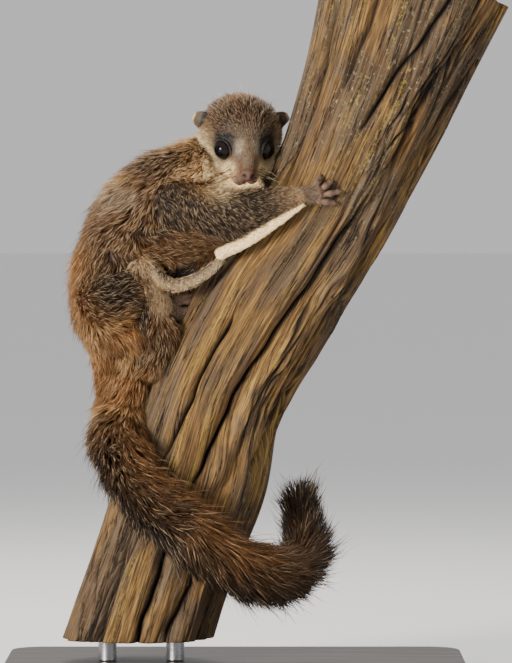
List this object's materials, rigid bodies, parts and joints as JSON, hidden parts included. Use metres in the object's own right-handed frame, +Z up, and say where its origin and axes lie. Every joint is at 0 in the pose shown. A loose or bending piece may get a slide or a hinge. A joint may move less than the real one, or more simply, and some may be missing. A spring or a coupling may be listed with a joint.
{
  "type": "flying squirrel display model",
  "caption": "Young giant flying squirrel clinging to a short length of dead trunk, tail hanging in a curl, on a flat display base.",
  "frame": {"origin": "middle of the underside of the stand's base", "axes": "+Z up, +X to the right seen from the animal's right side, +Y away from that viewer"},
  "size_m": [0.3267, 0.2, 0.4791],
  "materials": {
    "coat": "soft grizzled brown fur, black and pale tipped",
    "tail_coat": "long bushy dark brown fur",
    "pale_coat": "short cream fur of the underside and the edge of the membrane",
    "ear_skin": "thin grey skin with short hair",
    "bare_skin": "bare creased greyish pink skin",
    "eye": "wet gloss, near black",
    "dead_wood": "weathered, cracked and barkless",
    "stand_wood": "dark satin lacquer",
    "rod_steel": "dark satin steel"
  },
  "bodies": {
    "root": {"perch": "dead_wood", "stand_base": "stand_wood", "stand_rod_left": "rod_steel", "stand_rod_right": "rod_steel", "head": "coat", "eye_right": "eye", "eye_left": "eye", "ear_right": "ear_skin", "ear_left": "ear_skin", "nose": "bare_skin", "neck": "coat", "torso_chest": "coat", "torso_loin": "coat", "torso_rump": "coat", "upper_arm_right": "coat", "forearm_right": "coat", "hand_right": "bare_skin", "thigh_right": "coat", "shank_right": "coat", "foot_right": "bare_skin", "membrane_flank_right": "coat", "membrane_wrist_right": "pale_coat", "upper_arm_left": "coat", "forearm_left": "coat", "hand_left": "bare_skin", "thigh_left": "coat", "shank_left": "coat", "foot_left": "bare_skin", "membrane_flank_left": "coat", "membrane_wrist_left": "pale_coat", "tail_1": "tail_coat", "tail_2": "tail_coat", "tail_3": "tail_coat", "tail_4": "tail_coat", "tail_5": "tail_coat"}
  },
  "joints": []
}
